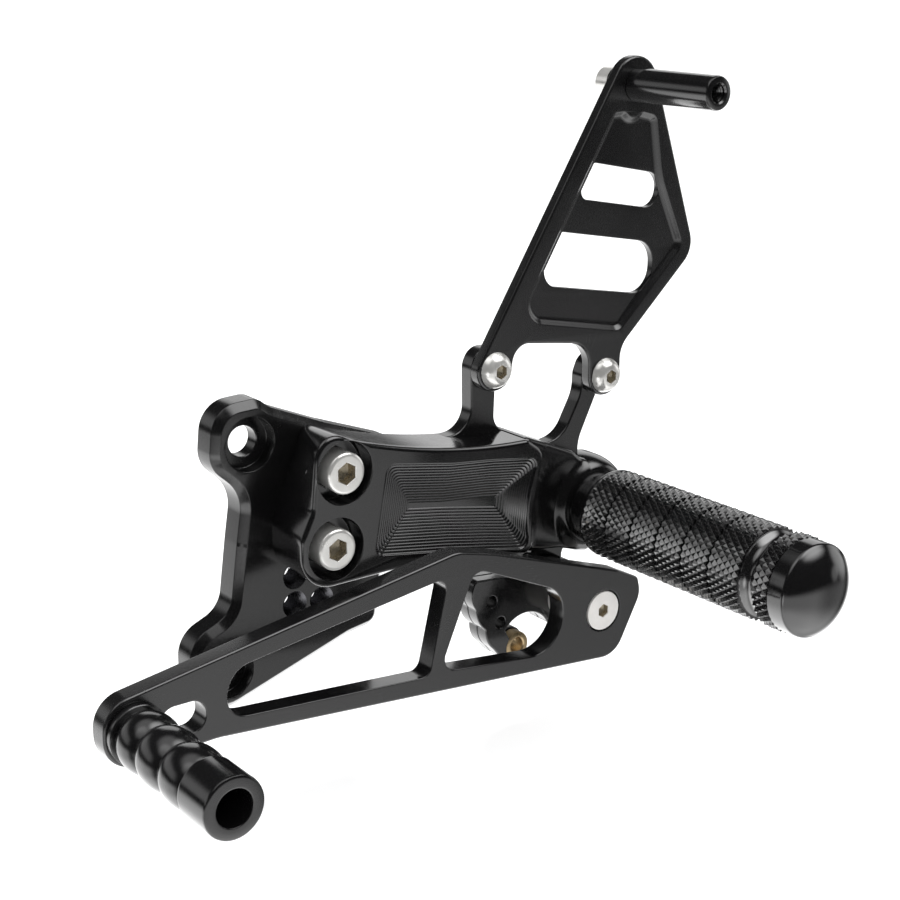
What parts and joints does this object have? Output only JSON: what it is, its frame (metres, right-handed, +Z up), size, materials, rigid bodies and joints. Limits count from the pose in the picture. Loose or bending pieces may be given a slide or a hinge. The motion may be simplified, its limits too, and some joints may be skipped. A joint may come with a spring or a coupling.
{
  "type": "rear set footrest",
  "caption": "Black machined left rear set for a motorbike: frame plate, footrest bracket with knurled peg, heel guard and pivoting shift pedal with toe peg.",
  "frame": {"origin": "centre of the upper frame bolt hole, on the inboard face of the frame plate", "axes": "+X to the rear of the bike, -Y outboard along the foot peg, +Z up"},
  "size_m": [0.2353, 0.1261, 0.1969],
  "materials": {
    "plate_black": "satin black anodised",
    "bracket_black": "satin black anodised, milled",
    "guard_black": "satin black anodised",
    "standoff_black": "gloss black anodised",
    "collar_black": "satin black anodised, turned",
    "knurl_black": "black anodised, knurled",
    "cap_black": "gloss black anodised, turned",
    "pedal_black": "satin black anodised",
    "toe_black": "satin black anodised, turned",
    "link_black": "satin black anodised",
    "stainless": "bright stainless",
    "pivot_silver": "matt silver",
    "brass": "satin brass",
    "bronze": "satin bronze"
  },
  "bodies": {
    "rear_set": {"frame_plate": "plate_black", "footrest_bracket": "bracket_black", "bracket_screws": "stainless", "heel_guard": "guard_black", "guard_screws": "stainless", "guard_standoff": "standoff_black", "standoff_spacer": "standoff_black", "standoff_screw": "stainless", "peg_collar": "collar_black", "foot_peg": "knurl_black", "peg_end_cap": "cap_black", "peg_bolt": "stainless", "pivot_bolt": "pivot_silver", "pivot_washer": "pivot_silver"},
    "shift_lever": {"shift_pedal": "pedal_black", "toe_peg": "toe_black", "toe_peg_screw": "stainless", "pivot_sleeve": "pivot_silver", "pivot_bushes": "bronze", "link_plate_outer": "link_black", "link_plate_inner": "link_black", "link_bush": "brass"}
  },
  "joints": [
    {"name": "shift_pivot", "type": "hinge", "parent": "rear_set", "child": "shift_lever", "pos_m": [0.1152, -0.03, -0.0711], "axis": [0, 1, 0], "range_deg": [-10, 10]}
  ]
}
